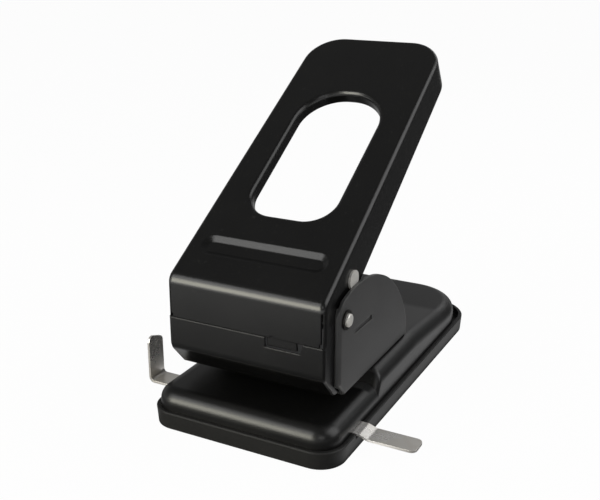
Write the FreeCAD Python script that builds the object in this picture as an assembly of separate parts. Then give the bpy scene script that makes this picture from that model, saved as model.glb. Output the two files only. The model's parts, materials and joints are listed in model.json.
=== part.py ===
import FreeCAD, Part
import math
import os

from FreeCAD import Vector

# Two-hole punch with a long pressed-steel lever, for thick stacks of paper.
# X runs to the right, Y to the back and Z up, in millimetres. The origin is in
# the middle of the chip tray's underside. Distances called "..._from_front" are
# measured from the front edge of the tray, and heights from the table.

# Chip tray, a shallow moulding that the pressed base stands in
tray_width = 130.0
tray_depth = 255.5
tray_height = 11.3
tray_flare = 0.8
tray_front_radius = 16.5
tray_rear_radius = 30.0
tray_wall = 1.9
tray_floor = 2.0
tray_ledge_height = 6.0
tray_ledge_width = 2.6
tray_back_margin = 4.8
tray_rim_chamfer = 0.7

# Pressed base cover
cover_gap = 0.3
cover_sheet = 1.5
cover_edge_radius = 9.0
cover_inner_chamfer = 4.8
cover_rear_radius = 38.0
plateau_height = 24.0
raised_height = 33.0
rear_height = 27.5
step_from_front = 70.8
step_angle = 65.0
step_head_radius = 3.5
slope_from_front = 136.0
slope_end_from_front = 196.0
slope_radius = 60.0

# Punches, their guide plate and the die plate
hole_spacing = 80.0
punch_from_front = 58.75
punch_diameter = 6.0
punch_fit = 0.06
punch_tip_height = 33.3
punch_point_depth = 1.6
die_plate_thickness = 6.0
die_plate_length = 104.0
die_plate_fore = 5.4
die_plate_aft = 9.0
die_plate_corner = 2.0
guide_plate_thickness = 3.0
guide_plate_bottom = 68.5
guide_plate_width = 30.0
guide_tab_length = 25.0
guide_tab_recess = 1.1
slot_gap = 0.2

# Channel frame with its two cheeks
frame_width = 113.0
frame_sheet = 2.0
frame_front = 24.5
frame_back = 134.0
frame_bend_radius = 3.0
frame_corner_cut = 9.5
frame_lip_width = 3.1
frame_floor_front = 30.0
cheek_arc_radius = 81.5
cheek_arc_from_front = 55.0
cheek_arc_height = 17.5
cheek_corner_radius = 11.0

# Lever: a pan of thin sheet folded down at the front
handle_sheet = 1.5
handle_side_gap = 1.2
handle_taper = 3.4
handle_length = 231.6
handle_angle = 32.4
handle_root_flange = 29.0
handle_tip_flange = 22.5
handle_bend_radius = 3.2
handle_inner_chamfer = 1.0
handle_corner_radius = 25.0
fold_from_front = 11.1
fold_height = 98.0
fold_radius = 8.0
skirt_bottom = 72.0
skirt_slit_width = 1.1
skirt_slit_depth = 1.1
skirt_slit_reach = 0.3
skirt_slit_height = 21.0
skirt_corner_cut = 2.4
window_half_width = 29.6
window_start = 59.0
window_end = 173.6
window_front_radius = 19.0
window_rear_radius = 28.0
window_rim_depth = 7.0
window_rim_radius = 3.6
window_rim_inner_bevel = 1.4
groove_half_length = 43.3
groove_start = 20.9
groove_end = 36.4
groove_depth = 2.0
groove_slope = 4.0
flange_neck_radius = 6.0

# Pivot shaft, drive shaft and their clearances
pivot_from_front = 32.9
pivot_height = 82.8
pivot_diameter = 8.0
pivot_stand_out = 3.0
shaft_fit = 0.05
clip_thickness = 1.0
clip_diameter = 12.0
drive_from_front = 48.8
drive_height = 101.5
drive_diameter = 8.0
drive_head_diameter = 12.0
drive_head_thickness = 1.4
shaft_chamfer = 0.6

# Crosshead and return springs
crosshead_overhang = 5.2
crosshead_fore = 13.5
crosshead_aft = 8.5
crosshead_sheet = 2.5
crosshead_side_depth = 9.0
crosshead_gap = 0.1
punch_clip_thickness = 0.9
punch_clip_width = 12.0
punch_clip_corner = 2.5
spring_wire = 1.2
spring_mean_diameter = 10.4
spring_turns = 6
spring_steps_per_turn = 8
spring_wire_sides = 4

# Lower front cover
front_cover_sheet = 1.2
front_cover_gap = 0.3
front_cover_knee = 51.5
front_cover_knee_radius = 8.0
front_cover_set_back = 14.0
front_cover_bottom = 35.3
front_cover_bottom_radius = 5.0
front_cover_lip = 8.5
front_cover_side_chamfer = 1.2
front_cover_inner_chamfer = 0.8
notch_left = 14.5
notch_right = 37.6
notch_lean = 2.2
notch_depth = 6.2
skirt_tab_gap = 0.8
skirt_tab_end_gap = 2.6
skirt_tab_lean = 0.8
skirt_tab_set_back = 1.4
skirt_tab_lap = 4.0
skirt_relief_radius = 1.3
skirt_relief_from_notch = 4.5
ear_length = 12.0
ear_bottom = 46.0
ear_top = 66.0

# Sliding paper guide
guide_from_front = 37.7
guide_width = 15.0
guide_thickness = 1.5
guide_bottom = 10.2
guide_left_reach = 20.6
guide_right_reach = 38.0
guide_tab_top = 44.0
guide_tab_slope = 5.5
guide_drop = 2.0
guide_drop_clear = 2.5
guide_drop_length = 5.5
guide_push_in = 60.0
guide_bend_radius = 2.5
guide_corner_radius = 4.0
guide_play = 0.3
hanger_width = 12.0
hanger_sheet = 1.0
hanger_side_gap = 5.3
hanger_drop_gap = 6.5
leaf_sheet = 0.6
leaf_width = 10.0
leaf_flat = 7.0
leaf_gap = 0.25
leaf_hanger_gap = 1.5

# Rivets
rivet_diameter = 5.0
rivet_head_diameter = 9.0
rivet_head_height = 1.6
rivet_spacing = 84.0
rivets_from_front = 108.0

# Cutting bodies run this far past the surface they cut, and edges are picked within this distance
overcut = 1.0
near = 0.01

front = -tray_depth / 2
back = tray_depth / 2
cover_half_width = tray_width / 2 - tray_wall - cover_gap
cover_front = front + tray_wall + cover_gap
cover_back = back - tray_wall - cover_gap - tray_back_margin
frame_half_width = frame_width / 2
cheek_inside = frame_half_width - frame_sheet
frame_floor_top = raised_height + frame_sheet
handle_width = 2 * (cheek_inside - handle_side_gap)
guide_left = tray_width / 2 + guide_left_reach
guide_right = tray_width / 2 + guide_right_reach
guide_drop_start = tray_width / 2 + guide_drop_clear
guide_drop_end = guide_drop_start + guide_drop_length
hanger_left_x = hanger_width / 2 + hanger_side_gap + cover_sheet - cover_half_width
hanger_right_x = guide_drop_start - guide_push_in - hanger_drop_gap - hanger_width / 2
punch_y = front + punch_from_front
punch_radius = punch_diameter / 2
punch_bore = punch_radius + punch_fit
pivot_y = front + pivot_from_front
pivot_radius = pivot_diameter / 2
drive_y = front + drive_from_front
drive_radius = drive_diameter / 2
fold_y = front + fold_from_front
crosshead_top = drive_height - drive_radius - crosshead_gap
guide_plate_top = guide_plate_bottom + guide_plate_thickness
punch_clip_bottom = crosshead_top - crosshead_sheet - punch_clip_thickness
plateau_underside = plateau_height - cover_sheet


def block(x0, x1, y0, y1, z0, z1):
    return Part.makeBox(x1 - x0, y1 - y0, z1 - z0, Vector(x0, y0, z0))


def rod_x(x0, x1, y, z, radius):
    return Part.makeCylinder(radius, x1 - x0, Vector(x0, y, z), Vector(1, 0, 0))


def rod_z(x, y, z0, z1, radius):
    return Part.makeCylinder(radius, z1 - z0, Vector(x, y, z0), Vector(0, 0, 1))


def polygon(points):
    return Part.Face(Part.makePolygon(points + points[:1]))


def side_plane(a, b):
    return Vector(0, a, b)


def plan_plane(a, b):
    return Vector(a, b, 0)


def front_plane(a, b):
    return Vector(a, 0, b)


# Closed outline through corners (a, b, radius), each rounded by a tangent arc
def rounded_wire(corners, plane):
    rounds = []
    for i, corner in enumerate(corners):
        here = Vector(corner[0], corner[1], 0)
        before = corners[i - 1]
        after = corners[(i + 1) % len(corners)]
        to_before = (Vector(before[0], before[1], 0) - here).normalize()
        to_after = (Vector(after[0], after[1], 0) - here).normalize()
        half = to_before.getAngle(to_after) / 2
        radius = corner[2]
        if radius == 0:
            rounds.append((here, None, here))
            continue
        run = radius / math.tan(half)
        inward = (to_before + to_after).normalize()
        middle = here + inward * (radius / math.sin(half) - radius)
        rounds.append((here + to_before * run, middle, here + to_after * run))
    edges = []
    for i, (start, middle, end) in enumerate(rounds):
        if middle is not None:
            points = [plane(p.x, p.y) for p in (start, middle, end)]
            edges.append(Part.Arc(*points).toShape())
        following = rounds[(i + 1) % len(rounds)][0]
        if end.distanceToPoint(following) > 1e-6:
            edges.append(Part.makeLine(plane(end.x, end.y), plane(following.x, following.y)))
    return Part.Wire(edges)


# The same corners moved inward by a distance, with radii that keep arcs concentric
def inset_corners(corners, distance):
    area = 0.0
    for i, corner in enumerate(corners):
        previous = corners[i - 1]
        area += previous[0] * corner[1] - corner[0] * previous[1]
    turn = 1.0 if area > 0 else -1.0
    moved = []
    for i, corner in enumerate(corners):
        here = Vector(corner[0], corner[1], 0)
        before = corners[i - 1]
        after = corners[(i + 1) % len(corners)]
        to_before = (Vector(before[0], before[1], 0) - here).normalize()
        to_after = (Vector(after[0], after[1], 0) - here).normalize()
        half = to_before.getAngle(to_after) / 2
        outward_corner = to_after.cross(to_before).z * turn > 0
        sign = 1.0 if outward_corner else -1.0
        shifted = here + (to_before + to_after).normalize() * (sign * distance / math.sin(half))
        radius = corner[2]
        if radius > 0:
            radius = max(radius - sign * distance, 0.0)
        moved.append((shifted.x, shifted.y, radius))
    return moved


def prism(corners, plane, start, length):
    face = Part.Face(rounded_wire(corners, plane))
    face.translate(start)
    return face.extrude(length)


def across(corners, half_width):
    return prism(corners, side_plane, Vector(-half_width, 0, 0), Vector(2 * half_width, 0, 0))


def upright(corners, z0, z1):
    return prism(corners, plan_plane, Vector(0, 0, z0), Vector(0, 0, z1 - z0))


def backward(corners, y0, y1):
    return prism(corners, front_plane, Vector(0, y0, 0), Vector(0, y1 - y0, 0))


def mirrored(shape):
    return shape.mirror(Vector(0, 0, 0), Vector(1, 0, 0))


def plan_corners(half_width, y0, y1, front_radius, rear_radius):
    return [
        (-half_width, y0, front_radius),
        (half_width, y0, front_radius),
        (half_width, y1, rear_radius),
        (-half_width, y1, rear_radius),
    ]


# Chip tray

def tray_outline(inset):
    corners = plan_corners(tray_width / 2, front, back, tray_front_radius, tray_rear_radius)
    return inset_corners(corners, inset)


def cover_outline(inset):
    edge = tray_wall + cover_gap
    front_radius = tray_front_radius - edge
    corners = plan_corners(cover_half_width, cover_front, cover_back, front_radius, cover_rear_radius)
    return inset_corners(corners, inset)


# From just inside the cover's side walls to clear of the tray, on the left and right
def side_reaches(depth):
    inside = cover_half_width - depth
    outside = tray_width / 2 + tray_flare + overcut
    return ((-outside, -inside), (inside, outside))


def guide_passage(x0, x1, z0, z1):
    y = front + guide_from_front
    reach = guide_width / 2 + guide_play
    return block(x0, x1, y - reach, y + reach, z0, z1)


def chip_tray():
    foot = rounded_wire(tray_outline(0), plan_plane)
    rim = rounded_wire(tray_outline(-tray_flare), plan_plane)
    rim.translate(Vector(0, 0, tray_height))
    tray = Part.makeLoft([foot, rim], True, True)
    rim_edges = [e for e in tray.Edges if e.BoundBox.ZMin > tray_height - near]
    tray = tray.makeChamfer(tray_rim_chamfer, rim_edges)
    seat = upright(tray_outline(tray_wall), tray_ledge_height, tray_height + overcut)
    well = upright(cover_outline(tray_ledge_width), tray_floor, tray_height + overcut)
    tray = tray.cut(seat).cut(well)
    notch_bottom = guide_bottom - guide_drop - guide_play
    for x0, x1 in side_reaches(tray_ledge_width + overcut):
        tray = tray.cut(guide_passage(x0, x1, notch_bottom, tray_height + overcut))
    return tray


# Pressed base cover

# Side view of the low part in front, which runs on a little way under the raised part
def plateau_corners(bottom):
    under = front + slope_from_front
    return [
        (cover_front, bottom, 0),
        (cover_front, plateau_height, 0),
        (under, plateau_height, 0),
        (under, bottom, 0),
    ]


# Side view of the raised part, from its steep front face to the back
def raised_corners(bottom):
    lean = 1 / math.tan(math.radians(step_angle))
    foot = front + step_from_front
    return [
        (foot - (plateau_height - bottom) * lean, bottom, 0),
        (foot + (raised_height - plateau_height) * lean, raised_height, 0),
        (front + slope_from_front, raised_height, slope_radius),
        (front + slope_end_from_front, rear_height, slope_radius),
        (cover_back, rear_height, 0),
        (cover_back, bottom, 0),
    ]


# One part of the cover as a block with upright walls, and the edge round its top
def cover_block(corners, inset):
    body = across(inset_corners(corners, inset), cover_half_width + overcut)
    outline = cover_outline(inset)
    low = body.BoundBox.ZMin
    body = body.common(upright(outline, low - overcut, raised_height + overcut))
    wall = rounded_wire(outline, plan_plane)
    crest = []
    for edge in body.Edges:
        middle = edge.valueAt((edge.FirstParameter + edge.LastParameter) / 2)
        on_wall = wall.distToShape(Part.Vertex(middle.x, middle.y, 0))[0] < near
        if on_wall and edge.BoundBox.ZMin > low + cover_edge_radius:
            crest.append(edge)
    return body, crest


# Edges on the steep front face of the raised part, from the top down to the plateau
def step_edges(raised):
    lean = 1 / math.tan(math.radians(step_angle))
    foot = front + step_from_front
    chosen = []
    for edge in raised.Edges:
        ends = [edge.valueAt(edge.FirstParameter), edge.valueAt(edge.LastParameter)]
        on_face = all(abs(p.y - foot - (p.z - plateau_height) * lean) < near for p in ends)
        if on_face and edge.BoundBox.ZMax > plateau_height:
            chosen.append(edge)
    return chosen


def cover_outside():
    plateau, crest = cover_block(plateau_corners(tray_ledge_height), 0)
    plateau = plateau.makeFillet(cover_edge_radius, crest)
    raised, crest = cover_block(raised_corners(tray_ledge_height), 0)
    raised = raised.makeFillet(cover_edge_radius, crest)
    raised = raised.makeFillet(step_head_radius, step_edges(raised))
    return plateau.fuse(raised).removeSplitter()


def cover_inside():
    bottom = tray_ledge_height - 2 * cover_sheet
    hollow = []
    for corners in (plateau_corners(bottom), raised_corners(bottom)):
        body, crest = cover_block(corners, cover_sheet)
        hollow.append(body.makeChamfer(cover_inner_chamfer, crest))
    return hollow[0].fuse(hollow[1])


def rivet_places():
    return [(side * rivet_spacing / 2, front + rivets_from_front) for side in (-1, 1)]


def base_cover():
    cover = cover_outside().cut(cover_inside())
    for x in (-hole_spacing / 2, hole_spacing / 2):
        top = plateau_height + overcut
        cover = cover.cut(rod_z(x, punch_y, plateau_underside - overcut, top, punch_bore))
    for x, y in rivet_places():
        cover = cover.cut(rod_z(x, y, raised_height - 2 * cover_sheet, frame_floor_top, rivet_diameter / 2))
    passage_top = guide_bottom + guide_thickness + guide_play
    for x0, x1 in side_reaches(cover_sheet + overcut):
        cover = cover.cut(guide_passage(x0, x1, 0, passage_top))
    return cover


# Die plate under the plateau

def die_plate():
    z0 = plateau_underside - die_plate_thickness
    half = die_plate_length / 2
    plate = block(-half, half, punch_y - die_plate_fore, punch_y + die_plate_aft, z0, plateau_underside)
    corners = [e for e in plate.Edges if e.BoundBox.ZLength > near]
    plate = plate.makeChamfer(die_plate_corner, corners)
    for x in (-hole_spacing / 2, hole_spacing / 2):
        plate = plate.cut(rod_z(x, punch_y, z0 - overcut, plateau_height, punch_bore))
    return plate


# Channel frame

# Side view of a cheek; the corner between its front edge and its arc has this radius
def cheek_outline(corner):
    middle = Vector(0, front + cheek_arc_from_front, cheek_arc_height)
    y0 = front + frame_front
    y1 = front + frame_back
    floor = raised_height
    cut = frame_corner_cut
    inner = cheek_arc_radius - corner
    centre = Vector(0, y0 + corner, middle.z + math.sqrt(inner ** 2 - (y0 + corner - middle.y) ** 2))
    outward = (centre - middle).normalize()
    on_arc = middle + outward * cheek_arc_radius
    on_front = Vector(0, y0, centre.z)
    top = middle + Vector(0, 0, cheek_arc_radius)
    top_back = Vector(0, y1, middle.z + math.sqrt(cheek_arc_radius ** 2 - (y1 - middle.y) ** 2))
    edges = [Part.Arc(on_arc, top, top_back).toShape()]
    foot = [Vector(0, y1, floor), Vector(0, y0 + cut, floor), Vector(0, y0, floor + cut)]
    corners = [top_back] + foot + [on_front]
    for a, b in zip(corners, corners[1:]):
        edges.append(Part.makeLine(a, b))
    if corner > 0:
        bulge = centre + (outward + Vector(0, -1, 0)).normalize() * corner
        edges.append(Part.Arc(on_front, bulge, on_arc).toShape())
    return Part.Wire(edges)


def channel_form(corner):
    face = Part.Face(cheek_outline(corner))
    face.translate(Vector(-frame_half_width, 0, 0))
    return face.extrude(Vector(2 * frame_half_width, 0, 0))


def frame():
    form = channel_form(0)
    y0 = front + frame_front
    bends = []
    for edge in form.Edges:
        box = edge.BoundBox
        on_side = abs(abs(box.XMin) - frame_half_width) < near and box.XLength < near
        low = box.ZMax < raised_height + frame_corner_cut + near
        along_front = abs(box.YMin - y0) < near and box.YLength < near
        if on_side and (low or along_front):
            bends.append(edge)
    form = form.makeFillet(frame_bend_radius, bends)
    high = cheek_arc_height + cheek_arc_radius + overcut
    y_in = y0 + frame_sheet
    y_out = front + frame_back + overcut
    inside = block(-cheek_inside, cheek_inside, y_in, y_out, frame_floor_top, high)
    low_edges = []
    for edge in inside.Edges:
        box = edge.BoundBox
        if box.ZMax < frame_floor_top + near and box.XLength < near:
            low_edges.append(edge)
    inside = inside.makeFillet(frame_bend_radius - frame_sheet, low_edges)
    form = form.cut(inside).common(channel_form(cheek_corner_radius))
    lip = frame_half_width - frame_lip_width
    low = raised_height - overcut
    form = form.cut(block(-lip, lip, y0 - overcut, y_in + overcut, low, high))
    form = form.cut(block(-lip, lip, y0 - overcut, front + frame_floor_front, low, high))
    form = form.cut(rod_x(-tray_width, tray_width, pivot_y, pivot_height, pivot_radius + shaft_fit))
    tab = guide_tab_length / 2 + slot_gap
    z0 = guide_plate_bottom - slot_gap
    z1 = guide_plate_top + slot_gap
    form = form.cut(block(-tray_width, tray_width, punch_y - tab, punch_y + tab, z0, z1))
    for x in (-hole_spacing / 2, hole_spacing / 2):
        form = form.cut(rod_z(x, punch_y, low, frame_floor_top + overcut, punch_bore))
    for x, y in rivet_places():
        form = form.cut(rod_z(x, y, low, frame_floor_top + overcut, rivet_diameter / 2))
    return form


def frame_rivets():
    rivets = []
    for x, y in rivet_places():
        shank = rod_z(x, y, raised_height - cover_sheet, frame_floor_top, rivet_diameter / 2)
        head = rod_z(x, y, frame_floor_top, frame_floor_top + rivet_head_height, rivet_head_diameter / 2)
        rivets.append(shank.fuse(head))
    return Part.makeCompound(rivets)


# Upper guide plate

def upper_guide():
    half = guide_plate_width / 2
    tab = guide_tab_length / 2
    reach = frame_half_width - guide_tab_recess
    z0 = guide_plate_bottom
    z1 = guide_plate_top
    plate = block(-cheek_inside, cheek_inside, punch_y - half, punch_y + half, z0, z1)
    plate = plate.fuse(block(-reach, reach, punch_y - tab, punch_y + tab, z0, z1)).removeSplitter()
    for x in (-hole_spacing / 2, hole_spacing / 2):
        plate = plate.cut(rod_z(x, punch_y, z0 - overcut, z1 + overcut, punch_bore))
    return plate


# Lower front cover

def front_cover_corners():
    top = skirt_bottom - front_cover_gap
    foot_y = fold_y + front_cover_set_back
    back_y = foot_y + front_cover_lip
    return [
        (fold_y, top, 0),
        (fold_y, front_cover_knee, front_cover_knee_radius),
        (foot_y, front_cover_bottom, front_cover_bottom_radius),
        (back_y, front_cover_bottom, 0),
        (back_y, top, 0),
    ]


def front_cover():
    corners = front_cover_corners()
    half = handle_width / 2
    sheet = front_cover_sheet
    outer = across(corners, half)
    bends = []
    back_y = corners[3][0]
    for edge in outer.Edges:
        box = edge.BoundBox
        middle = edge.valueAt((edge.FirstParameter + edge.LastParameter) / 2)
        on_side = abs(abs(middle.x) - half) < near and box.XLength < near
        on_top = box.ZMin > corners[0][1] - near
        on_back = box.YMin > back_y - near
        if on_side and not on_top and not on_back:
            bends.append(edge)
    outer = outer.makeChamfer(front_cover_side_chamfer, bends)
    inner_corners = inset_corners(corners, sheet)
    high = corners[0][1] + overcut
    far = back_y + overcut
    inner_corners[0] = (inner_corners[0][0], high, 0)
    inner_corners[3] = (far, inner_corners[3][1], 0)
    inner_corners[4] = (far, high, 0)
    inner = across(inner_corners, half - sheet)
    bends = []
    for edge in inner.Edges:
        box = edge.BoundBox
        middle = edge.valueAt((edge.FirstParameter + edge.LastParameter) / 2)
        on_side = abs(abs(middle.x) - half + sheet) < near and box.XLength < near
        if on_side and box.ZMin < high - near and box.YMin < far - near:
            bends.append(edge)
    inner = inner.makeChamfer(front_cover_inner_chamfer, bends)
    cover = outer.cut(inner)
    notch_bottom = corners[0][1] - notch_depth
    notch = [
        (notch_left, notch_bottom, 0),
        (notch_right, notch_bottom, 0),
        (notch_right + notch_lean, high, 0),
        (notch_left, high, 0),
    ]
    cover = cover.cut(backward(notch, fold_y - overcut, fold_y + sheet + overcut))
    behind_lip = front + frame_front + frame_sheet + front_cover_gap
    ear = block(half - sheet, cheek_inside, behind_lip, behind_lip + sheet, ear_bottom, ear_top)
    ear_end = behind_lip + ear_length
    ear = ear.fuse(block(cheek_inside - sheet, cheek_inside, behind_lip, ear_end, ear_bottom, ear_top))
    return cover.fuse(ear).fuse(mirrored(ear)).removeSplitter()


# ---- lever ----
# The lever is drawn lying flat, its fold on the X axis and its top face at height 0,
# and is then tilted into place.

def to_handle(y, z):
    tilt = math.radians(handle_angle)
    along = (y - fold_y) * math.cos(tilt) + (z - fold_height) * math.sin(tilt)
    up = (z - fold_height) * math.cos(tilt) - (y - fold_y) * math.sin(tilt)
    return (along, up)


def handle_half_width(along):
    return handle_width / 2 - handle_taper * along / handle_length


def handle_outline(inset):
    start = to_handle(fold_y, skirt_bottom - handle_root_flange)[0]
    corners = [
        (-handle_half_width(start), start, 0),
        (handle_half_width(start), start, 0),
        (handle_half_width(handle_length), handle_length, handle_corner_radius),
        (-handle_half_width(handle_length), handle_length, handle_corner_radius),
    ]
    return inset_corners(corners, inset)


# Tapered block between two outlines at different heights
def between(lower, z0, upper, z1):
    wires = [rounded_wire(lower, plan_plane), rounded_wire(upper, plan_plane)]
    wires[0].translate(Vector(0, 0, z0))
    wires[1].translate(Vector(0, 0, z1))
    return Part.makeLoft(wires, True, True)


def handle_side_corners():
    boss = pivot_height - skirt_bottom
    boss_y = pivot_y + boss
    end = handle_length + overcut
    # the flange's lower edge runs straight from the boss to the tip
    tilt = math.radians(handle_angle)
    lean = math.atan2(handle_root_flange - handle_tip_flange, handle_length)
    neck_z = fold_height - handle_root_flange / math.cos(tilt)
    neck_z += (boss_y - fold_y) * math.tan(tilt + lean)
    return [
        (0, 0, fold_radius),
        (*to_handle(fold_y, skirt_bottom), 0),
        (*to_handle(boss_y, skirt_bottom), boss),
        (*to_handle(boss_y, neck_z), flange_neck_radius),
        (end, -handle_tip_flange, 0),
        (end, 0, 0),
    ]


# Long edges of the top face; the bends run on from them round the tip, over the fold and down the skirt
def handle_bends(form, top):
    chosen = []
    for edge in form.Edges:
        box = edge.BoundBox
        if abs(box.ZMin - top) < near and box.ZLength < near and box.YLength > handle_length / 2:
            chosen.append(edge)
    return chosen


def handle_form():
    solid = across(handle_side_corners(), handle_width)
    low = solid.BoundBox.ZMin - overcut
    solid = solid.common(upright(handle_outline(0), low, overcut))
    return solid.makeFillet(handle_bend_radius, handle_bends(solid, 0))


def handle_hollow():
    sheet = handle_sheet
    tilt = math.radians(handle_angle)
    skirt_start = sheet / math.cos(tilt) - sheet * math.tan(tilt)
    low = to_handle(fold_y + sheet, skirt_bottom - handle_root_flange)
    far = handle_length + handle_root_flange
    corners = [
        (skirt_start, -sheet, fold_radius - sheet),
        (*low, 0),
        (far, low[1], 0),
        (far, -sheet, 0),
    ]
    solid = across(corners, handle_width)
    solid = solid.common(upright(handle_outline(sheet), low[1] - overcut, 0))
    return solid.makeChamfer(handle_inner_chamfer, handle_bends(solid, -sheet))


def window_corners():
    return [
        (-window_half_width, window_start, window_front_radius),
        (window_half_width, window_start, window_front_radius),
        (window_half_width, window_end, window_rear_radius),
        (-window_half_width, window_end, window_rear_radius),
    ]


# Rim of the groove, or its floor when moved inward by the width of the slope
def groove_corners(inset):
    radius = (groove_end - groove_start) / 2 - near
    corners = [
        (-groove_half_length, groove_start, radius),
        (groove_half_length, groove_start, radius),
        (groove_half_length, groove_end, radius),
        (-groove_half_length, groove_end, radius),
    ]
    return inset_corners(corners, inset)


# Flat edges of a shape that lie on an outline at one height
def edges_along(shape, corners, height):
    wire = rounded_wire(corners, plan_plane)
    chosen = []
    for edge in shape.Edges:
        if abs(edge.BoundBox.ZMin - height) > near or abs(edge.BoundBox.ZMax - height) > near:
            continue
        middle = edge.valueAt((edge.FirstParameter + edge.LastParameter) / 2)
        if wire.distToShape(Part.Vertex(middle.x, middle.y, 0))[0] < near:
            chosen.append(edge)
    return chosen


# A groove pressed into the top face, with the sheet following below
def press_groove(pan):
    rim = groove_corners(0)
    floor = groove_corners(groove_slope)
    sheet = handle_sheet
    pan = pan.fuse(between(floor, -groove_depth - sheet, rim, -sheet))
    return pan.cut(between(floor, -groove_depth, rim, 0))


# The window, with its rim turned down all round; three flats stand for the round of the bend
def turn_window_rim(pan):
    sheet = handle_sheet
    corners = window_corners()
    around = inset_corners(corners, -sheet)
    pan = pan.fuse(upright(around, -window_rim_depth - sheet, -sheet / 2))
    pan = pan.cut(upright(corners, -handle_root_flange, overcut))
    pan = pan.removeSplitter()
    pan = pan.makeChamfer(window_rim_inner_bevel, edges_along(pan, around, -sheet))
    first = window_rim_radius * (2 - math.sqrt(2))
    second = window_rim_radius * (math.tan(math.radians(22.5)) - math.tan(math.radians(11.25)))
    pan = pan.makeChamfer(first, edges_along(pan, corners, 0))
    crests = edges_along(pan, inset_corners(corners, -first), 0)
    return pan.makeChamfer(second, crests + edges_along(pan, corners, -first))


# A tongue lapped behind the skirt; it hangs in the notch of the lower cover
def skirt_tab():
    low = skirt_bottom - front_cover_gap - notch_depth + skirt_tab_gap
    high = skirt_bottom + skirt_tab_lap
    right = notch_right - skirt_tab_end_gap
    corners = [
        (notch_left + skirt_tab_gap, low, skirt_tab_gap),
        (right, low, 0),
        (right - skirt_tab_lean, high, 0),
        (notch_left + skirt_tab_gap, high, 0),
    ]
    y0 = fold_y + skirt_tab_set_back
    return backward(corners, y0, y0 + handle_sheet)


# What is cut from the skirt: a slit beside each side flange and a half-round relief over the tongue
def skirt_cuts():
    y0 = fold_y - overcut
    y1 = fold_y + handle_sheet + skirt_slit_depth
    outer = handle_width / 2 - handle_sheet + skirt_slit_reach
    inner = outer - skirt_slit_width
    low = skirt_bottom - overcut
    slit = block(inner, outer, y0, y1, low, skirt_bottom + skirt_slit_height)
    foot = block(inner - skirt_slit_width, outer, y0, y1, low, skirt_bottom + skirt_corner_cut)
    slit = slit.fuse(foot)
    place = Vector(notch_left + skirt_relief_from_notch, y0, skirt_bottom)
    relief = Part.makeCylinder(skirt_relief_radius, handle_sheet + overcut, place, Vector(0, 1, 0))
    return slit.fuse(mirrored(slit)).fuse(relief.cut(skirt_tab()))


def handle():
    pan = press_groove(handle_form().cut(handle_hollow()))
    pan = turn_window_rim(pan)
    for y, z, radius in ((pivot_y, pivot_height, pivot_radius), (drive_y, drive_height, drive_radius)):
        along, up = to_handle(y, z)
        pan = pan.cut(rod_x(-tray_width, tray_width, along, up, radius + shaft_fit))
    pan.rotate(Vector(0, 0, 0), Vector(1, 0, 0), handle_angle)
    pan.translate(Vector(0, fold_y, fold_height))
    return pan.cut(skirt_cuts()).fuse(skirt_tab())


# Shafts and clips

def pivot_shaft():
    reach = frame_half_width + pivot_stand_out
    shaft = rod_x(-reach, reach, pivot_y, pivot_height, pivot_radius)
    return shaft.makeChamfer(shaft_chamfer, [e for e in shaft.Edges if e.Closed])


# Push-on ring that grips the shaft outside the cheek
def pivot_clip():
    start = frame_half_width + slot_gap
    clip = rod_x(start, start + clip_thickness, pivot_y, pivot_height, clip_diameter / 2)
    end = start + clip_thickness + overcut
    return clip.cut(rod_x(start - overcut, end, pivot_y, pivot_height, pivot_radius))


def drive_shaft():
    along = to_handle(drive_y, drive_height)[0]
    face = handle_half_width(along - drive_head_diameter / 2)
    shaft = rod_x(-face, face, drive_y, drive_height, drive_radius)
    head = rod_x(face, face + drive_head_thickness, drive_y, drive_height, drive_head_diameter / 2)
    return shaft.fuse(head).fuse(mirrored(head))


# Crosshead, punches and springs

def crosshead():
    half = hole_spacing / 2 + crosshead_overhang
    y0 = punch_y - crosshead_fore
    y1 = punch_y + crosshead_aft
    sheet = crosshead_sheet
    low = crosshead_top - crosshead_side_depth
    bar = block(-half, half, y0, y1, low, crosshead_top)
    bends = [e for e in bar.Edges if e.BoundBox.XLength > half and e.BoundBox.ZMin > low + sheet]
    bar = bar.makeFillet(sheet, bends)
    reach = half + overcut
    bar = bar.cut(block(-reach, reach, y0 + sheet, y1 - sheet, low - overcut, crosshead_top - sheet))
    for x in (-hole_spacing / 2, hole_spacing / 2):
        bar = bar.cut(rod_z(x, punch_y, low, crosshead_top + overcut, punch_radius))
    return bar


def punch(x):
    body = rod_z(x, punch_y, punch_tip_height, crosshead_top, punch_radius)
    # hollow-ground point: a round trough across the tip leaves two cutting horns
    dip = punch_point_depth
    trough = (punch_radius ** 2 + dip ** 2) / (2 * dip)
    height = punch_tip_height + dip - trough
    return body.cut(rod_x(x - punch_diameter, x + punch_diameter, punch_y, height, trough))


# Push-on plate under the crosshead, the upper seat of the return spring
def punch_clip(x):
    half = punch_clip_width / 2
    z0 = punch_clip_bottom
    z1 = z0 + punch_clip_thickness
    plate = block(x - half, x + half, punch_y - half, punch_y + half, z0, z1)
    corners = [e for e in plate.Edges if e.BoundBox.ZLength > near]
    plate = plate.makeChamfer(punch_clip_corner, corners)
    return plate.cut(rod_z(x, punch_y, z0 - overcut, z1 + overcut, punch_radius))


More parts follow.
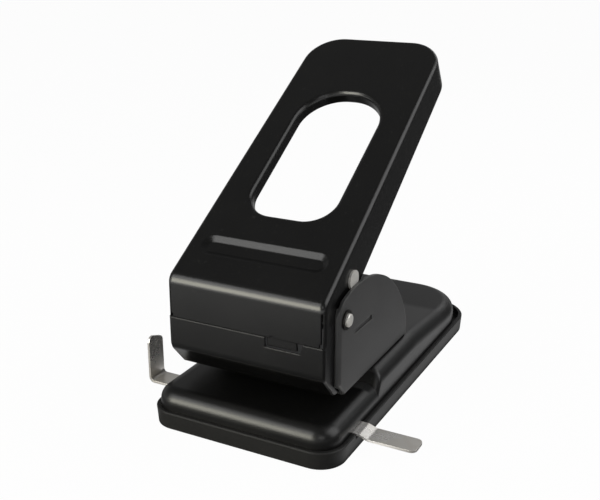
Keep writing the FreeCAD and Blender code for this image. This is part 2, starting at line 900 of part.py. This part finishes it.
def return_spring(x):
    radius = spring_mean_diameter / 2
    low = guide_plate_top + spring_wire / 2
    high = punch_clip_bottom - spring_wire / 2
    rise = high - low
    steps = spring_turns * spring_steps_per_turn
    rings = []
    for i in range(steps + 1):
        angle = 2 * math.pi * i / spring_steps_per_turn
        ring = []
        for k in range(spring_wire_sides):
            around = 2 * math.pi * k / spring_wire_sides
            out = radius + spring_wire / 2 * math.cos(around)
            height = low + rise * i / steps + spring_wire / 2 * math.sin(around)
            ring.append(Vector(x + out * math.cos(angle), punch_y + out * math.sin(angle), height))
        rings.append(ring)
    faces = [polygon(rings[0]), polygon(rings[-1])]
    for ring, following in zip(rings, rings[1:]):
        for k in range(spring_wire_sides):
            faces.append(polygon([ring[k - 1], ring[k], following[k]]))
            faces.append(polygon([ring[k - 1], following[k], following[k - 1]]))
    spring = Part.Solid(Part.Shell(faces))
    if spring.Volume < 0:
        spring.reverse()
    return spring


# Sliding paper guide and what carries it

def guide_strip_corners():
    z0 = guide_bottom
    z1 = guide_bottom + guide_thickness
    drop = guide_drop
    r_in = guide_bend_radius
    r_out = guide_bend_radius + guide_thickness
    left = -guide_left
    return [
        (left, guide_tab_top, 0),
        (left, z0, r_out),
        (guide_drop_start, z0, r_out),
        (guide_drop_end, z0 - drop, r_in),
        (guide_right, z0 - drop, 0),
        (guide_right, z1 - drop, 0),
        (guide_drop_end, z1 - drop, r_out),
        (guide_drop_start, z1, r_in),
        (left + guide_thickness, z1, r_in),
        (left + guide_thickness, guide_tab_top, 0),
    ]


def paper_guide():
    y0 = front + guide_from_front - guide_width / 2
    y1 = y0 + guide_width
    strip = backward(guide_strip_corners(), y0, y1)
    plan_ends = [
        (-guide_left, y0, 0),
        (guide_right, y0, guide_corner_radius),
        (guide_right, y1, guide_corner_radius),
        (-guide_left, y1, 0),
    ]
    strip = strip.common(upright(plan_ends, 0, guide_tab_top))
    tab_end = [
        (y0, 0, 0),
        (y1, 0, 0),
        (y1, guide_tab_top - guide_tab_slope, guide_corner_radius),
        (y0, guide_tab_top, guide_corner_radius),
    ]
    return strip.common(across(tab_end, guide_right))


# A stirrup of thin strip under the plateau; the guide slides through it
def guide_hanger(x):
    half = hanger_width / 2
    z0 = guide_bottom - guide_play
    sheet = hanger_sheet
    y = front + guide_from_front
    reach = guide_width / 2 + guide_play
    side = reach + sheet
    outer = block(x - half, x + half, y - side, y + side, z0 - sheet, plateau_underside)
    run = half + overcut
    return outer.cut(block(x - run, x + run, y - reach, y + reach, z0, plateau_underside - sheet))


# Bowed leaf that presses the guide down on its hangers
def guide_leaf():
    half = (hanger_right_x - hanger_left_x - hanger_width) / 2 - leaf_hanger_gap
    middle = (hanger_left_x + hanger_right_x) / 2
    top = plateau_underside
    low = guide_bottom + guide_thickness + leaf_gap
    flat = leaf_flat / 2
    profile = [
        (-half, top, 0),
        (-flat, low + leaf_sheet, 0),
        (flat, low + leaf_sheet, 0),
        (half, top, 0),
        (half, top - leaf_sheet, 0),
        (flat, low, 0),
        (-flat, low, 0),
        (-half, top - leaf_sheet, 0),
    ]
    start = Vector(middle, front + guide_from_front - leaf_width / 2, 0)
    return prism(profile, front_plane, start, Vector(0, leaf_width, 0))


punch_x = hole_spacing / 2
parts = {
    "chip_tray": chip_tray(),
    "base_cover": base_cover(),
    "die_plate": die_plate(),
    "frame": frame(),
    "frame_rivets": frame_rivets(),
    "upper_guide": upper_guide(),
    "front_cover": front_cover(),
    "handle": handle(),
    "pivot_shaft": pivot_shaft(),
    "pivot_clip_left": mirrored(pivot_clip()),
    "pivot_clip_right": pivot_clip(),
    "drive_shaft": drive_shaft(),
    "crosshead": crosshead(),
    "punch_left": punch(-punch_x),
    "punch_right": punch(punch_x),
    "punch_clip_left": punch_clip(-punch_x),
    "punch_clip_right": punch_clip(punch_x),
    "return_spring_left": return_spring(-punch_x),
    "return_spring_right": return_spring(punch_x),
    "paper_guide": paper_guide(),
    "guide_hanger_left": guide_hanger(hanger_left_x),
    "guide_hanger_right": guide_hanger(hanger_right_x),
    "guide_leaf": guide_leaf(),
}

os.makedirs("parts", exist_ok=True)
for name, shape in parts.items():
    shape.exportStep("parts/" + name + ".step")

# Travel of the punches when the lever is pressed until its top lies level
press = math.radians(handle_angle)
reach = Vector(drive_y - pivot_y, drive_height - pivot_height, 0)
rise = math.atan2(reach.y, reach.x)
drop = reach.Length * (math.sin(rise) - math.sin(rise - press))
print("punch travel", round(drop, 3), "mm over", handle_angle, "degrees")
print("that is", round(drop / press, 4), "mm per radian")
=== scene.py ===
import json
import math

import bpy
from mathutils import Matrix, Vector


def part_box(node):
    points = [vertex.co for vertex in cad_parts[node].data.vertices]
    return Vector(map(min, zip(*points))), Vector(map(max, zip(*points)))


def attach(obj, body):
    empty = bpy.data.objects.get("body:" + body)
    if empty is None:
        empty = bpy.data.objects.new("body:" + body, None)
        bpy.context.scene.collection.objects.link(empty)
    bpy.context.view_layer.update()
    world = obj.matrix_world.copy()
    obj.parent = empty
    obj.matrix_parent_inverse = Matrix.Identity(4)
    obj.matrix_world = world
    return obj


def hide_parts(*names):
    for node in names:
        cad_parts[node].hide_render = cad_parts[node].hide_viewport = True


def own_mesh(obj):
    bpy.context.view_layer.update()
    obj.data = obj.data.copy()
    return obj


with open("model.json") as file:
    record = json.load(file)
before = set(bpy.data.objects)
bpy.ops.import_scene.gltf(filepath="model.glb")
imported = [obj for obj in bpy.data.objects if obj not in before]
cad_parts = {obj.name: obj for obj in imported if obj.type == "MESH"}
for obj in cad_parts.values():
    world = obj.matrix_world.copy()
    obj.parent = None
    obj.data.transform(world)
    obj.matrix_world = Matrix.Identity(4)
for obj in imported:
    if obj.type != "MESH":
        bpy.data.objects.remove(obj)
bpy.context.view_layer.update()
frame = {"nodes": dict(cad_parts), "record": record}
print("frame loaded:", len(frame["nodes"]), "nodes")


class Signal:
    # a node's output that takes Python arithmetic; each operation adds one Math node
    def __init__(self, tree, socket):
        self.tree = tree
        self.socket = socket

    def __add__(self, other):
        return self.tree.maths("ADD", self, other)

    def __radd__(self, other):
        return self.tree.maths("ADD", other, self)

    def __sub__(self, other):
        return self.tree.maths("SUBTRACT", self, other)

    def __rsub__(self, other):
        return self.tree.maths("SUBTRACT", other, self)

    def __mul__(self, other):
        return self.tree.maths("MULTIPLY", self, other)

    def __rmul__(self, other):
        return self.tree.maths("MULTIPLY", other, self)

    def __pow__(self, other):
        return self.tree.maths("POWER", self, other)

    def __rpow__(self, other):
        return self.tree.maths("POWER", other, self)

    def __abs__(self):
        return self.tree.maths("ABSOLUTE", self, 0.0)


class Tree:
    # a node tree, emptied, and what adds to it
    def __init__(self, nodeTree):
        self.nodes = nodeTree.nodes
        self.links = nodeTree.links
        self.nodes.clear()

    # every node is made here: its settings are set first, then the values or links of its sockets
    def add(self, kind, settings=None, sockets=None):
        node = self.nodes.new(kind)
        for key, value in (settings or {}).items():
            if key == "stops":
                self.setStops(node.color_ramp.elements, value)
            else:
                setattr(node, key, value)
        for key, value in (sockets or {}).items():
            if isinstance(value, Signal):
                self.links.new(value.socket, node.inputs[key])
            else:
                node.inputs[key].default_value = value
        return {out.name: Signal(self, out) for out in node.outputs if out.enabled}

    def setStops(self, elements, stops):
        for spot, (position, shade) in enumerate(stops):
            while len(elements) <= spot:
                elements.new(position)
            elements[spot].position = position
            elements[spot].color = (*shade, 1)

    def maths(self, operation, first, second):
        return self.add("ShaderNodeMath", {"operation": operation}, {0: first, 1: second})["Value"]

    # 0 at low, 1 at high, straight between them
    def clamp(self, value, low, high):
        values = {"Value": value, "From Min": low, "From Max": high}
        return self.add("ShaderNodeMapRange", {"clamp": True}, values)["Result"]

    def blend(self, factor, first, second):
        ends = [shade if isinstance(shade, Signal) else (*shade, 1) for shade in (first, second)]
        values = {0: factor, 6: ends[0], 7: ends[1]}  # 6 and 7 are the Mix node's two colours
        return self.add("ShaderNodeMix", {"data_type": "RGBA"}, values)["Result"]

    def axes(self, vector):
        return self.add("ShaderNodeSeparateXYZ", None, {"Vector": vector})


class Finish(Tree):
    # one material and the nodes that make it
    def __init__(self, name):
        self.material = bpy.data.materials.new(name)
        self.material.use_nodes = True
        super().__init__(self.material.node_tree)
        self.place = self.add("ShaderNodeTexCoord")["Object"]

    def noise(self, scale, detail=2.0, stretch=(1, 1, 1)):
        place = self.place
        if stretch != (1, 1, 1):
            place = self.add("ShaderNodeMapping", None, {"Vector": place, "Scale": stretch})["Vector"]
        values = {"Vector": place, "Scale": scale, "Detail": detail}
        return self.add("ShaderNodeTexNoise", None, values)["Fac"]

    def rounded(self, radius, samples):
        return self.add("ShaderNodeBevel", {"samples": samples}, {"Radius": radius})["Normal"]

    # a bumpy normal over edges that look rounded
    def relief(self, height, depth, edgeRadius):
        values = {"Height": height, "Strength": 1.0, "Distance": depth}
        values["Normal"] = self.rounded(edgeRadius, bevelSamples["relief"])
        return self.add("ShaderNodeBump", None, values)["Normal"]

    # 1 within a box of object coordinates, fading to 0 outside it
    def inside(self, box, fade):
        place = self.axes(self.place)
        share = 1.0
        for axis, (low, high) in zip("XYZ", box):
            share = share * self.clamp(place[axis], low - fade, low)
            share = share * self.clamp(place[axis], high + fade, high)
        return share

    # 1 where the surface turns over an edge within this reach, 0 on flats
    def edges(self, reach, turn):
        flat = self.add("ShaderNodeNewGeometry")["Normal"]
        normals = {0: flat, 1: self.rounded(reach, bevelSamples["wear"])}
        match = self.add("ShaderNodeVectorMath", {"operation": "DOT_PRODUCT"}, normals)["Value"]
        return self.clamp(match, *turn)

    def surface(self, sockets):
        node = self.add("ShaderNodeBsdfPrincipled", None, sockets)
        self.add("ShaderNodeOutputMaterial", None, {"Surface": node["BSDF"]})
        return self.material


bevelSamples = {"relief": 4, "wear": 6}


# Noise taken about its middle, 0.5, so that adding it leaves the mean value where it was
def swing(noise, amount):
    return (noise - 0.5) * amount


# Satin paint over pressed steel: fine orange peel, slow cloudiness and a little dust
def satinPaint(name, values):
    paint = Finish(name)
    cloud = paint.noise(values["cloudScale"])
    peel = paint.noise(values["peelScale"], detail=1.0)
    dust = paint.clamp(paint.noise(values["dustScale"], detail=0.0), *values["dustRange"])
    plain = paint.blend(paint.clamp(cloud, *values["cloudRange"]), values["dark"], values["light"])
    shade = paint.blend(dust * values["dustAmount"], plain, values["dustShade"])
    if "wornShade" in values:
        worn = paint.edges(values["wornReach"], values["wornTurn"])
        shade = paint.blend(worn * values["wornAmount"], shade, values["wornShade"])
    rough = values["roughness"] + swing(cloud, values["roughVariation"])
    if "dullBox" in values:
        rough = rough + paint.inside(values["dullBox"], values["dullFade"]) * values["dullness"]
    return paint.surface({
        "Base Color": shade,
        "Roughness": rough,
        "Normal": paint.relief(peel, values["peelDepth"], values["edgeRadius"]),
    })


# the lever and the front cover, and what the other two paints start from
paintValues = {
    "dark": (0.0030, 0.0030, 0.0030),
    "light": (0.0042, 0.0042, 0.0041),
    "cloudScale": 28.0,
    "cloudRange": (0.3, 0.7),
    "peelScale": 900.0,
    "peelDepth": 0.00003,
    "roughness": 0.26,
    "roughVariation": 0.05,
    "dustScale": 420.0,
    "dustRange": (0.78, 0.82),
    "dustAmount": 0.06,
    "dustShade": (0.12, 0.12, 0.12),
    "edgeRadius": 0.0010,
}

# the frame is greyer and more matt than the lever, and worn along its edges
frameValues = dict(
    paintValues,
    dark=(0.046, 0.046, 0.046),
    light=(0.057, 0.057, 0.057),
    roughness=0.42,
    wornShade=(0.16, 0.16, 0.15),
    wornReach=0.0008,
    wornTurn=(0.99, 0.8),
    wornAmount=0.6,
)

# the cover is a little rougher than the lever, and dull on the step face under the punch head
coverValues = dict(
    paintValues,
    roughness=0.35,
    dullBox=((-0.058, 0.058), (-0.064, -0.054), (0.020, 0.030)),
    dullFade=0.0025,
    dullness=0.7,
)


# Moulded tray: matt plastic with an even spark-eroded grain
def mouldedPlastic(name, values):
    plastic = Finish(name)
    grain = plastic.noise(values["grainScale"])
    cloud = plastic.noise(values["cloudScale"])
    shade = plastic.blend(plastic.clamp(cloud, *values["cloudRange"]), values["dark"], values["light"])
    return plastic.surface({
        "Base Color": shade,
        "Specular IOR Level": values["gloss"],
        "Roughness": values["roughness"] + swing(grain, values["roughVariation"]),
        "Normal": plastic.relief(grain, values["grainDepth"], values["edgeRadius"]),
    })


trayValues = {
    "dark": (0.0105, 0.0104, 0.0102),
    "light": (0.0145, 0.0143, 0.0140),
    "cloudScale": 35.0,
    "cloudRange": (0.3, 0.7),
    "grainScale": 1500.0,
    "grainDepth": 0.00004,
    "gloss": 0.3,
    "roughness": 0.52,
    "roughVariation": 0.12,
    "edgeRadius": 0.0004,
}


# Bare or plated steel: rolling lines along one axis, faint stains and scuffs
def platedSteel(name, values):
    plate = Finish(name)
    lines = plate.noise(values["lineScale"], stretch=values["lineStretch"])
    stain = plate.noise(values["stainScale"], detail=3.0)
    shade = plate.blend(plate.clamp(stain, *values["stainRange"]), values["light"], values["stained"])
    rough = values["roughness"] + swing(lines, values["lineRough"]) + swing(stain, values["stainRough"])
    return plate.surface({
        "Base Color": shade,
        "Metallic": values["metallic"],
        "Roughness": rough,
        "Normal": plate.relief(lines, values["lineDepth"], values["edgeRadius"]),
    })


# shafts, crosshead, punch plates and stirrups, and what the other steels start from
platingValues = {
    "light": (0.84, 0.83, 0.81),
    "stained": (0.74, 0.72, 0.67),
    "stainScale": 60.0,
    "stainRange": (0.35, 0.65),
    "stainRough": 0.2,
    "lineScale": 240.0,
    "lineStretch": (0.06, 1.0, 1.0),
    "lineDepth": 0.00001,
    "lineRough": 0.16,
    "metallic": 0.5,
    "roughness": 0.42,
    "edgeRadius": 0.0003,
}

# the paper guide is brighter and smoother than the shafts, and mirrors the body beside it
stripValues = dict(
    platingValues,
    light=(0.96, 0.94, 0.91),
    stained=(0.88, 0.84, 0.78),
    stainRough=0.05,
    lineDepth=0.000003,
    lineRough=0.05,
    metallic=0.78,
    roughness=0.28,
)

# the die plate and the rings on the pivot shaft are made dark as painted shade, for the shadowed gap
# round the pivot and the shade under the head
paintedShadeValues = dict(
    platingValues,
    light=(0.05, 0.048, 0.045),
    stained=(0.035, 0.033, 0.03),
    metallic=1.0,
    roughness=0.4,
)

# the return springs and the leaf that presses on the paper guide
wireValues = dict(
    platingValues,
    light=(0.5, 0.5, 0.5),
    stained=(0.4, 0.39, 0.37),
    metallic=1.0,
    roughness=0.35,
)

# the two punches, ground smooth
toolValues = dict(
    platingValues,
    light=(0.56, 0.56, 0.57),
    stained=(0.48, 0.48, 0.49),
    metallic=1.0,
    roughness=0.25,
)

finishes = {
    "lever_paint": satinPaint("leverPaint", paintValues),
    "cover_paint": satinPaint("coverPaint", coverValues),
    "frame_paint": satinPaint("framePaint", frameValues),
    "tray_plastic": mouldedPlastic("trayPlastic", trayValues),
    "plated_steel": platedSteel("brightPlating", platingValues),
    "tool_steel": platedSteel("groundSteel", toolValues),
    "spring_wire": platedSteel("springWire", wireValues),
}

# pieces that don't look like the rest of their slot
# painted shade: dark steel on the pivot rings and the die plate
paintedShadeSteel = platedSteel("paintedShadeSteel", paintedShadeValues)
ownFinishes = {
    "pivot_clip_left": paintedShadeSteel,
    "pivot_clip_right": paintedShadeSteel,
    "die_plate": paintedShadeSteel,
    "front_cover": finishes["lever_paint"],
    "paper_guide": platedSteel("stripPlating", stripValues),
}

for part in frame["record"]["subparts"]:
    for slot in frame["nodes"][part["node"]].material_slots:
        slot.material = ownFinishes.get(part["node"], finishes[part["material_slot"]])

springValues = {"wire": 0.0012, "turns": 6.0, "steps": 32, "sides": 12}


# The tree of a coil spring: a round section swept along a spiral, then moved to its place
def coilTree(finish):
    group = bpy.data.node_groups.new("coilSpring", "GeometryNodeTree")
    for name, kind in (
        ("Radius", "NodeSocketFloat"),
        ("Wire", "NodeSocketFloat"),
        ("Turns", "NodeSocketFloat"),
        ("Height", "NodeSocketFloat"),
        ("Steps", "NodeSocketInt"),
        ("Sides", "NodeSocketInt"),
        ("Place", "NodeSocketVector"),
    ):
        group.interface.new_socket(name, in_out="INPUT", socket_type=kind)
    group.interface.new_socket("Geometry", in_out="OUTPUT", socket_type="NodeSocketGeometry")
    coil = Tree(group)
    given = coil.add("NodeGroupInput")
    spiral = coil.add("GeometryNodeCurveSpiral", None, {
        "Resolution": given["Steps"],
        "Rotations": given["Turns"],
        "Start Radius": given["Radius"],
        "End Radius": given["Radius"],
        "Height": given["Height"],
    })["Curve"]
    ring = {"Resolution": given["Sides"], "Radius": given["Wire"]}
    section = coil.add("GeometryNodeCurvePrimitiveCircle", None, ring)["Curve"]
    sweep = {"Curve": spiral, "Profile Curve": section, "Fill Caps": True}
    wire = coil.add("GeometryNodeCurveToMesh", None, sweep)["Mesh"]
    move = {"Geometry": wire, "Translation": given["Place"]}
    moved = coil.add("GeometryNodeTransform", None, move)["Geometry"]
    solid = coil.add("GeometryNodeRealizeInstances", None, {"Geometry": moved})["Geometry"]
    coat = {"Geometry": solid, "Material": finish}
    coated = coil.add("GeometryNodeSetMaterial", None, coat)["Geometry"]
    coil.add("NodeGroupOutput", None, {"Geometry": coated})
    return group


# Runs a tree with these inputs and returns its result as a plain mesh object
def grow(name, tree, values):
    mesh = bpy.data.meshes.new(name)
    holder = bpy.data.objects.new(name, mesh)
    bpy.context.scene.collection.objects.link(holder)
    modifier = holder.modifiers.new("grow", "NODES")
    modifier.node_group = tree
    for item in tree.interface.items_tree:
        if item.in_out == "INPUT":
            modifier[item.identifier] = values[item.name]
    bpy.context.view_layer.update()
    grown = holder.evaluated_get(bpy.context.evaluated_depsgraph_get())
    result = bpy.data.meshes.new_from_object(grown)
    holder.modifiers.remove(modifier)
    holder.data = result
    result.shade_smooth()
    return holder


# Round-wire return springs in place of the plain ones
def returnSprings():
    tree = coilTree(finishes["spring_wire"])
    for side in ("left", "right"):
        node = "return_spring_" + side
        low, high = (Vector(v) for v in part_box(node))
        wire = springValues["wire"]
        middle = (low + high) / 2
        spring = grow("coil_" + side, tree, {
            "Radius": (high.x - low.x - wire) / 2,
            "Wire": wire / 2,
            "Turns": springValues["turns"],
            "Height": high.z - low.z - wire,
            "Steps": springValues["steps"],
            "Sides": springValues["sides"],
            "Place": (middle.x, middle.y, low.z + wire / 2),
        })
        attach(spring, "base")
        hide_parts(node)
        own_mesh(spring)


returnSprings()
print("springs made")

white = (1, 1, 1)
black = (0, 0, 0)
warm = (1.0, 0.975, 0.84)

floorValues = {"shade": (0.86, 0.86, 0.86), "whitening": 0.97, "radius": 9.0, "sides": 96}

# how bright the painted reflection of the floor is in polished faces, with painted shade near the
# object and painted light far in front and beside the tray, and where each tone gives way to the next
paintedReflectionValues = {
    "near": 0.1,
    "back": 0.08,
    "left": 0.4,
    "front": 2.5,
    "glow": 0.9,
    "backReach": (0.06, 0.32),
    "leftReach": (0.1, -0.1),
    "frontReach": 0.6,
    "glowReach": (0.03, 0.01),
    "glowStart": 0.002,
    "glowFront": 0.02,
}


# The floor in polished faces, a painted reflection: painted shade round the object, painted light far
# in front and beside the tray
def paintedFloorReflection(sheet):
    low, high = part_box("chip_tray")
    place = sheet.axes(sheet.place)
    tones = {key: (paintedReflectionValues[key],) * 3 for key in ("near", "back", "left", "front", "glow")}
    # painted shade near the object, fading out with distance; painted light ahead of it and beside the
    # tray
    away = (place["X"] * place["X"] + place["Y"] * place["Y"]) ** 0.5 - high[0]
    ahead = sheet.clamp(low[1] - place["Y"], 0.0, paintedReflectionValues["frontReach"])
    aside = abs(place["X"]) - high[0]
    leftward = sheet.clamp(place["X"], *paintedReflectionValues["leftReach"])
    behind = sheet.blend(leftward, tones["back"], tones["left"])
    dark = sheet.blend(sheet.clamp(away, *paintedReflectionValues["backReach"]), tones["near"], behind)
    paintedLit = sheet.blend(ahead * ahead, dark, tones["front"])
    beside = sheet.clamp(aside, 0.0, paintedReflectionValues["glowStart"])
    beside = beside * sheet.clamp(place["Y"] - low[1], 0.0, paintedReflectionValues["glowFront"])
    return sheet.blend(sheet.clamp(aside, *paintedReflectionValues["glowReach"]) * beside, paintedLit, tones["glow"])


# Pale floor that takes the object's shadow; polished faces see a painted reflection of it instead, with
# painted shade and painted light
def makeFloor():
    steps, radius = floorValues["sides"], floorValues["radius"]
    turns = [2 * math.pi * i / steps for i in range(steps)]
    rim = [(radius * math.cos(turn), radius * math.sin(turn), 0) for turn in turns]
    mesh = bpy.data.meshes.new("floor")
    mesh.from_pydata(rim, [], [list(range(steps))])
    floor = bpy.data.objects.new("floor", mesh)
    bpy.context.scene.collection.objects.link(floor)
    sheet = Finish("floorSheet")
    rays = sheet.add("ShaderNodeLightPath")
    plain = sheet.add("ShaderNodeBsdfDiffuse", None, {"Color": (*floorValues["shade"], 1)})["BSDF"]
    # the painted reflection, with its painted shade and light, for polished faces; white for the camera
    shade = sheet.blend(rays["Is Camera Ray"], paintedFloorReflection(sheet), white)
    bright = sheet.add("ShaderNodeEmission", None, {"Color": shade, "Strength": 1.0})["Emission"]
    share = rays["Is Camera Ray"] * floorValues["whitening"] + rays["Is Glossy Ray"]
    mix = sheet.add("ShaderNodeMixShader", None, {0: share, 1: plain, 2: bright})["Shader"]
    sheet.add("ShaderNodeOutputMaterial", None, {"Surface": mix})
    mesh.materials.append(sheet.material)


# The ramp's shades run from straight down at 0 over the horizon at 0.5 to straight up at 1
skyValues = {
    "stops": [
        (0.0, (0.9, 0.9, 0.9)),
        (0.5, (0.4, 0.4, 0.4)),
        (0.66, (0.3, 0.3, 0.3)),
        (0.8, (0.11, 0.11, 0.11)),
        (1.0, (0.19, 0.19, 0.19)),
    ],
    "rightReach": (0.0, 0.35),
    "rightShade": 0.7,
}


# Grey air, darker on the right, which the camera sees as white
def makeWorld():
    world = bpy.data.worlds.new("air")
    world.use_nodes = True
    sky = Tree(world.node_tree)
    way = sky.axes(sky.add("ShaderNodeTexCoord")["Generated"])
    height = {"Fac": way["Z"] * 0.5 + 0.5}
    ramp = sky.add("ShaderNodeValToRGB", {"stops": skyValues["stops"]}, height)["Color"]
    right = sky.clamp(way["X"], *skyValues["rightReach"]) * skyValues["rightShade"]
    shade = sky.blend(right, ramp, black)
    shade = sky.blend(sky.add("ShaderNodeLightPath")["Is Camera Ray"], shade, white)
    air = sky.add("ShaderNodeBackground", None, {"Color": shade, "Strength": 1.0})["Background"]
    sky.add("ShaderNodeOutputWorld", None, {"Surface": air})
    bpy.context.scene.world = world


lampValues = {
    "keyBox": {"place": (-0.55, -1.15, 0.32), "size": (0.6, 0.56), "power": 10.0, "shade": warm},
    "keyHood": {"place": (-0.52, -0.86, 0.75), "size": (0.6, 0.5), "power": 2.8, "shade": white},
    "rightBox": {"place": (0.92, 0.26, 0.78), "size": (1.1, 1.1), "power": 8.0, "shade": white},
    "cameraBox": {"place": (0.66, -1.15, 0.62), "size": (0.5, 0.35), "power": 1.6, "shade": white},
    "backPanel": {"place": (0.30, 1.06, 0.71), "size": (0.9, 0.26), "power": 1.2, "shade": white},
}
lampAim = Vector((0.0, -0.02, 0.08))


# Soft boxes round the object, all turned towards its middle
def makeLamps():
    for name, values in lampValues.items():
        lamp = bpy.data.lights.new(name, "AREA")
        lamp.shape = "RECTANGLE"
        lamp.size, lamp.size_y = values["size"]
        lamp.energy = values["power"]
        lamp.color = values["shade"]
        holder = bpy.data.objects.new(name, lamp)
        holder.location = values["place"]
        holder.rotation_euler = (lampAim - holder.location).to_track_quat("-Z", "Y").to_euler()
        bpy.context.scene.collection.objects.link(holder)


cameraValues = {
    "right": 0.2576,
    "beforeTray": 0.4105,
    "height": 0.2950,
    "tiltDown": 19.2,
    "turn": 27.5,
    "lens": 54.97,
    "sensor": 36.0,
    "clipStart": 0.01,
}


# The camera stands in front on the right and looks down at the punch
def makeCamera():
    lens = bpy.data.cameras.new("camera")
    lens.sensor_width = cameraValues["sensor"]
    lens.lens = cameraValues["lens"]
    lens.clip_start = cameraValues["clipStart"]
    camera = bpy.data.objects.new("camera", lens)
    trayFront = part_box("chip_tray")[0][1]
    depth = trayFront - cameraValues["beforeTray"]
    tilt = math.radians(90 - cameraValues["tiltDown"])
    camera.location = (cameraValues["right"], depth, cameraValues["height"])
    camera.rotation_euler = (tilt, 0, math.radians(cameraValues["turn"]))
    bpy.context.scene.collection.objects.link(camera)
    bpy.context.scene.camera = camera


makeFloor()
makeWorld()
makeLamps()
makeCamera()
bpy.context.scene.view_settings.view_transform = "Standard"
print("studio made")
